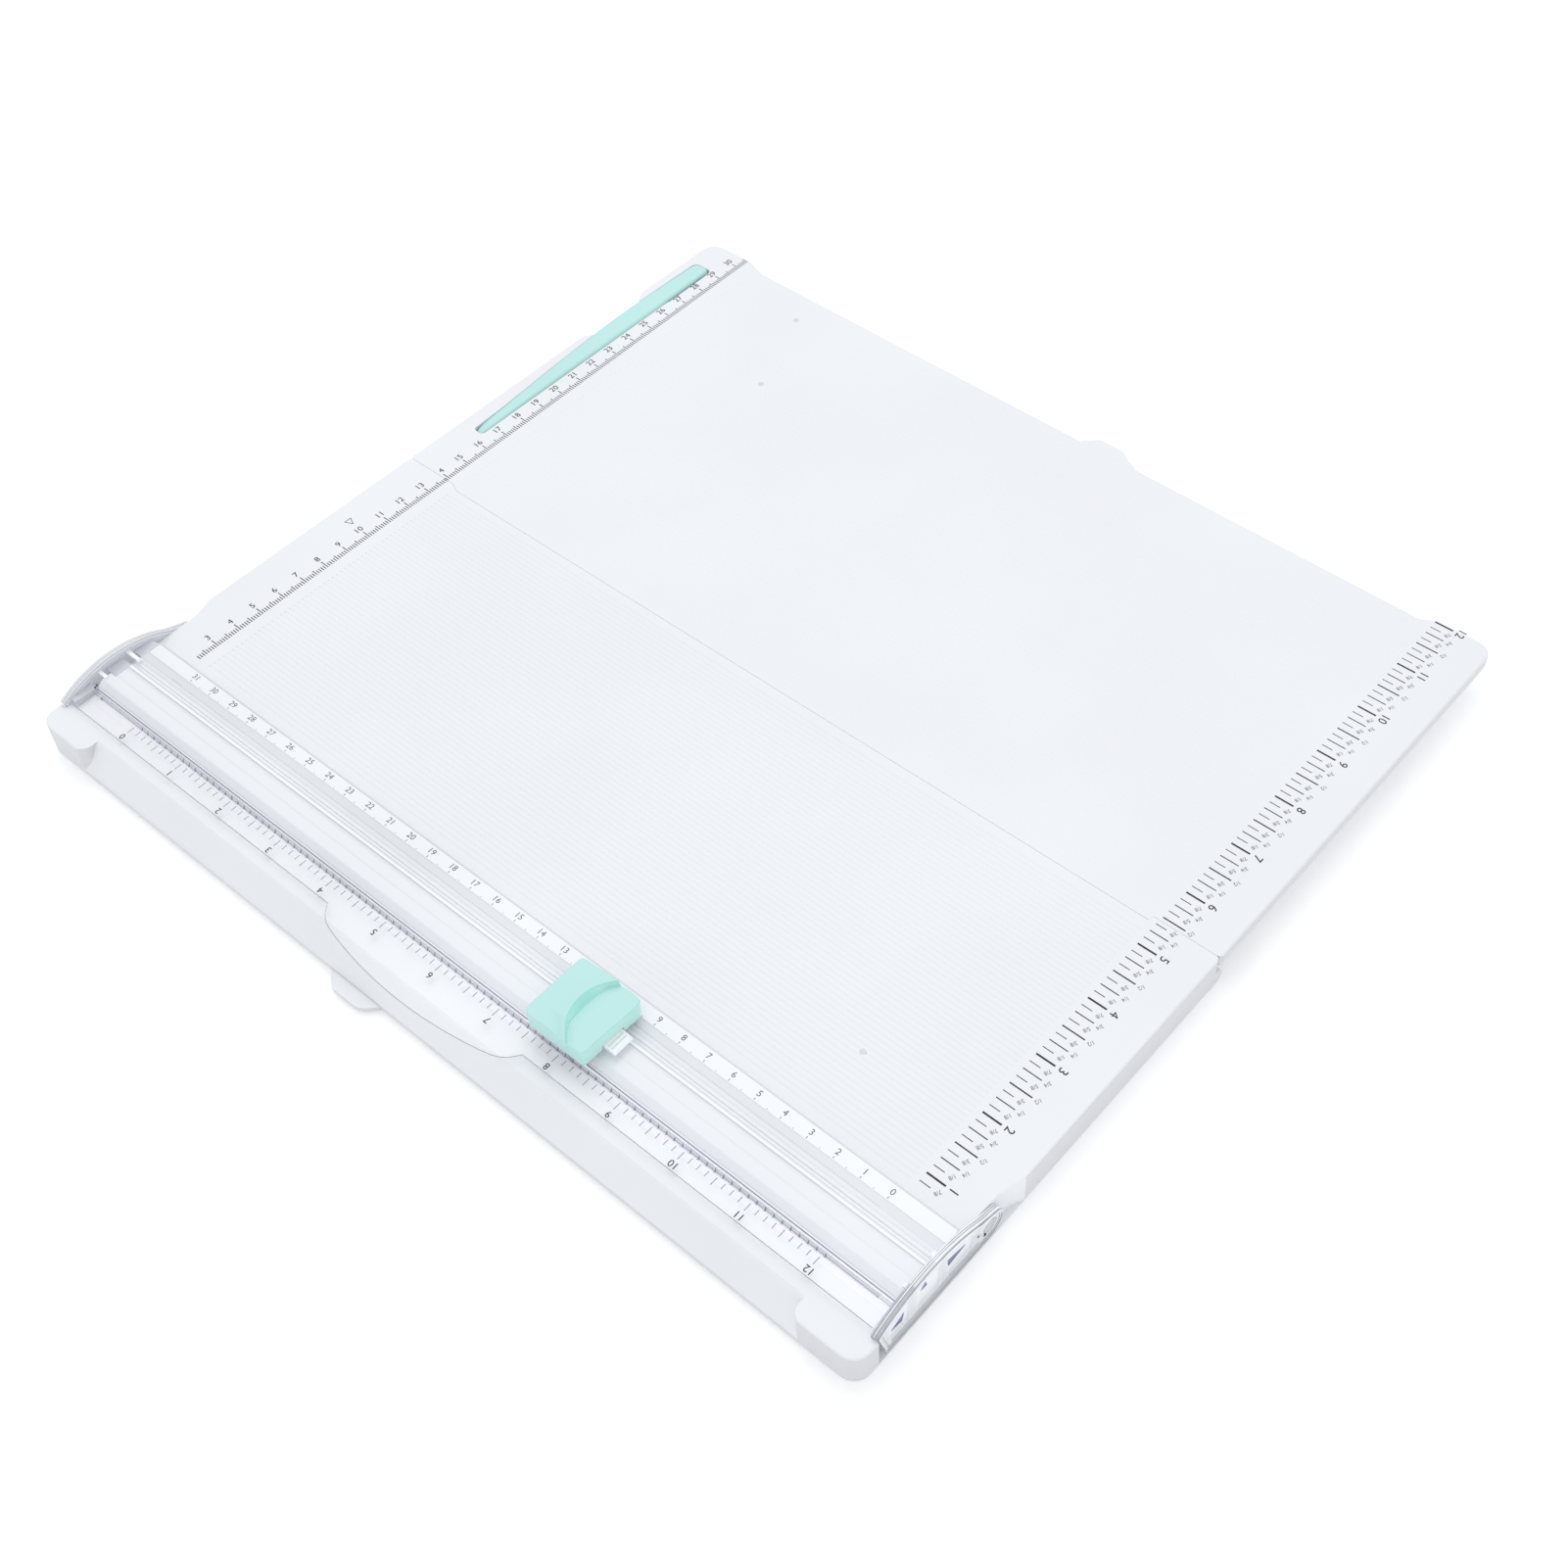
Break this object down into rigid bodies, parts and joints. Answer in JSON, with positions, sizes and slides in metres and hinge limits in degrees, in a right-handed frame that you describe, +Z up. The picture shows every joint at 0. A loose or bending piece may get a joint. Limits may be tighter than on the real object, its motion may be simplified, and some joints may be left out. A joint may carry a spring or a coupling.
{
  "type": "paper trimmer",
  "caption": "Folding scoring board with a swing-up clear ruler arm, a sliding press-down blade cutter and a scoring stylus in a side tray.",
  "frame": {"origin": "centre of the open board's bounding box, on the table", "axes": "+X along the cutting rail to the right as seen from the front, +Y from the trimmer towards the far edge, +Z up"},
  "size_m": [0.362, 0.348, 0.0286],
  "materials": {
    "white_plastic": "satin moulded white plastic",
    "frosted_plastic": "milky translucent plastic",
    "clear_plastic": "clear moulded acrylic with a faint blue tint",
    "mint_plastic": "glossy mint green plastic",
    "grey_rubber": "matt rubber pads",
    "steel": "plain steel"
  },
  "bodies": {
    "near_half": {"base_board": "white_plastic", "bottom_cover": "white_plastic", "cutting_strip": "frosted_plastic", "base_foot_1": "grey_rubber", "base_foot_2": "grey_rubber", "base_foot_3": "grey_rubber", "base_foot_4": "grey_rubber", "cover_screw_1": "steel", "cover_screw_2": "steel", "cover_screw_3": "steel", "cover_screw_4": "steel", "cover_screw_5": "steel", "cover_screw_6": "steel", "left_hinge_pin": "steel", "right_hinge_pin": "steel"},
    "far_half": {"far_board": "white_plastic", "far_foot_1": "grey_rubber", "far_foot_2": "grey_rubber"},
    "scoring_stylus": {"stylus": "mint_plastic"},
    "rail_arm": {"ruler_plate": "clear_plastic", "rail_bar": "frosted_plastic", "scale_strip": "white_plastic", "left_bracket": "clear_plastic", "right_bracket": "clear_plastic", "left_pivot_pin": "steel", "right_pivot_pin": "steel"},
    "carriage": {"carriage_shoe": "frosted_plastic", "front_press_spring": "steel", "rear_press_spring": "steel"},
    "cutter_head": {"cutter_cap": "mint_plastic", "blade_cartridge": "frosted_plastic", "blade": "steel"}
  },
  "joints": [
    {"name": "board_fold", "type": "hinge", "parent": "near_half", "child": "far_half", "pos_m": [0, 0.0028, 0.0045], "axis": [-1, 0, 0], "range_deg": [0, 180]},
    {"name": "arm_swing", "type": "hinge", "parent": "near_half", "child": "rail_arm", "pos_m": [0, -0.1095, 0.0083], "axis": [-1, 0, 0], "range_deg": [0, 75]},
    {"name": "cutter_slide", "type": "slide", "parent": "rail_arm", "child": "carriage", "axis": [1, 0, 0], "range_m": [-0.207, 0.103]},
    {"name": "cutter_press", "type": "slide", "parent": "carriage", "child": "cutter_head", "axis": [0, 0, -1], "range_m": [0, 0.0012], "stiffness_N_per_m": 600, "springref_m": -0.0012, "deforming": ["front_press_spring", "rear_press_spring"]},
    {"name": "stylus_lift", "type": "slide", "parent": "far_half", "child": "scoring_stylus", "axis": [0, 0, 1], "range_m": [0, 0.04]}
  ]
}
